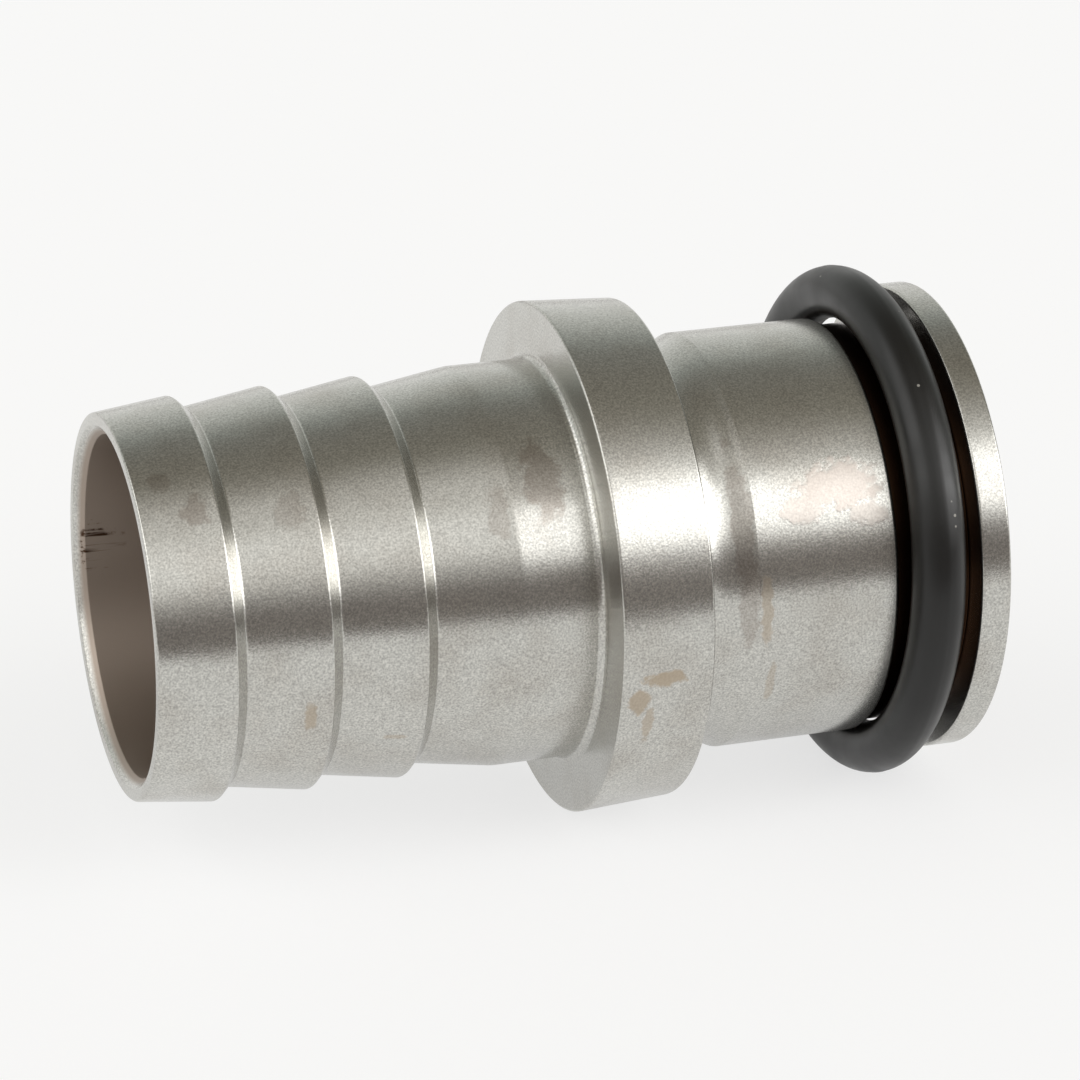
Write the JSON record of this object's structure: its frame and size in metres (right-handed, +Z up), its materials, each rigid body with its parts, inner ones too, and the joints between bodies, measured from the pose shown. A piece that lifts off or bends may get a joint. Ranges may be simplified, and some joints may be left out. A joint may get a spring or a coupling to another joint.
{
  "type": "male camlock hose coupling half",
  "caption": "Turned stainless steel hose tail with barbs, stop collar, plain spigot and end flange, carrying a loose rubber O-ring in its seal groove.",
  "frame": {"origin": "on the bore's axis, in the plane of the collar's hose-side face, where the hose stops", "axes": "+X along the bore towards the coupling end, +Z up, with the collar and the O-ring resting on a surface below"},
  "size_m": [0.0847, 0.0518, 0.0518],
  "materials": {
    "turned_stainless_steel": "fine turned, with faint feed marks",
    "nitrile_rubber": "satin moulded"
  },
  "bodies": {
    "body": {"hose_tail": "turned_stainless_steel"},
    "seal": {"o_ring": "nitrile_rubber"}
  },
  "joints": [
    {"name": "o_ring_float", "type": "slide", "parent": "body", "child": "seal", "axis": [1, 0, 0], "range_m": [-0.0003, 0.0014]}
  ]
}
